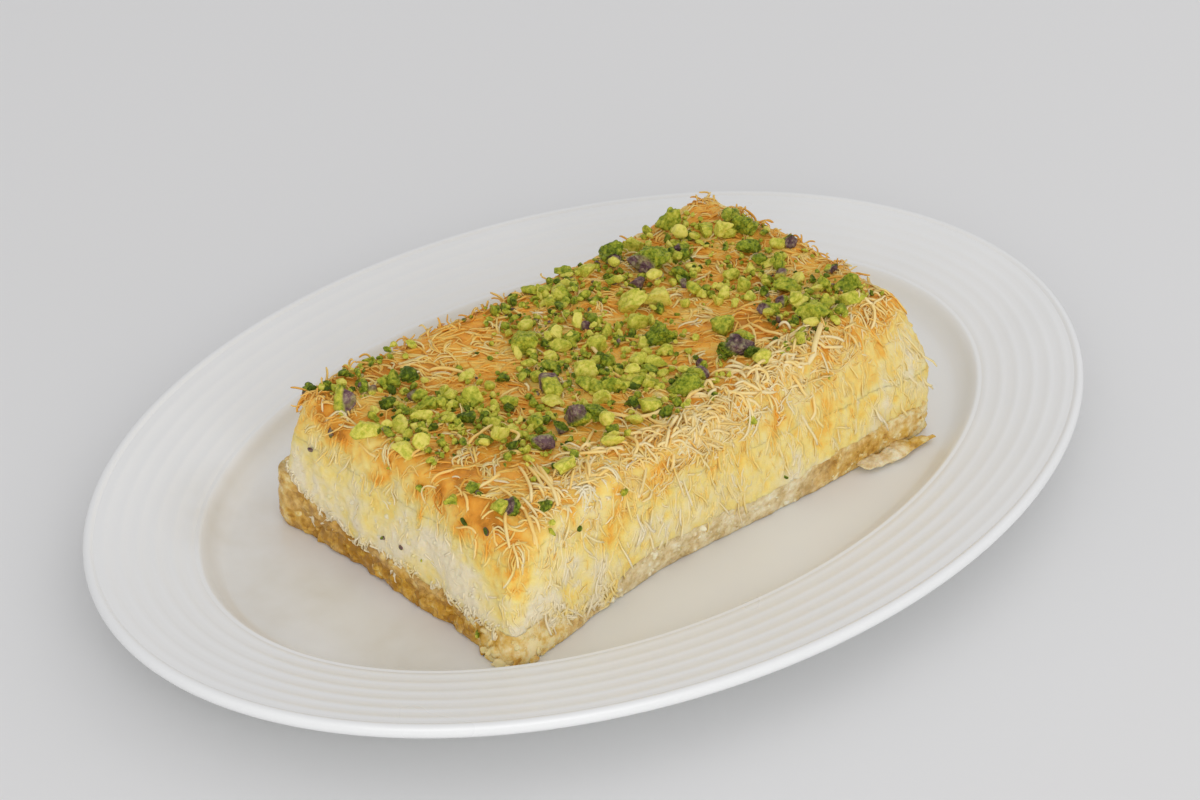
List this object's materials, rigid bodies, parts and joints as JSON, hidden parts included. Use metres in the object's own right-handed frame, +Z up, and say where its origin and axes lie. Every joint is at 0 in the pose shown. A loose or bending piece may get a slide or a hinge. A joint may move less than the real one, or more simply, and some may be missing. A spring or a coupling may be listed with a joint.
{
  "type": "kunafa",
  "caption": "Cut slab of kunafa with a syrupy base, white cream filling, shredded golden pastry and chopped pistachio, served on an oval white plate with a ribbed rim.",
  "frame": {"origin": "middle of the plate's foot, on the table", "axes": "+X along the plate's long axis and the slab's long side, +Y towards the slab's back, +Z up; the cut sides shown in the picture face -X and -Y"},
  "size_m": [0.28, 0.202, 0.0479],
  "materials": {
    "porcelain": "glossy",
    "syrup_base": "wet",
    "cream": "matte",
    "crust": "satin"
  },
  "bodies": {
    "root": {"plate": "porcelain", "base": "syrup_base", "filling": "cream", "top_pastry": "crust"}
  },
  "joints": []
}
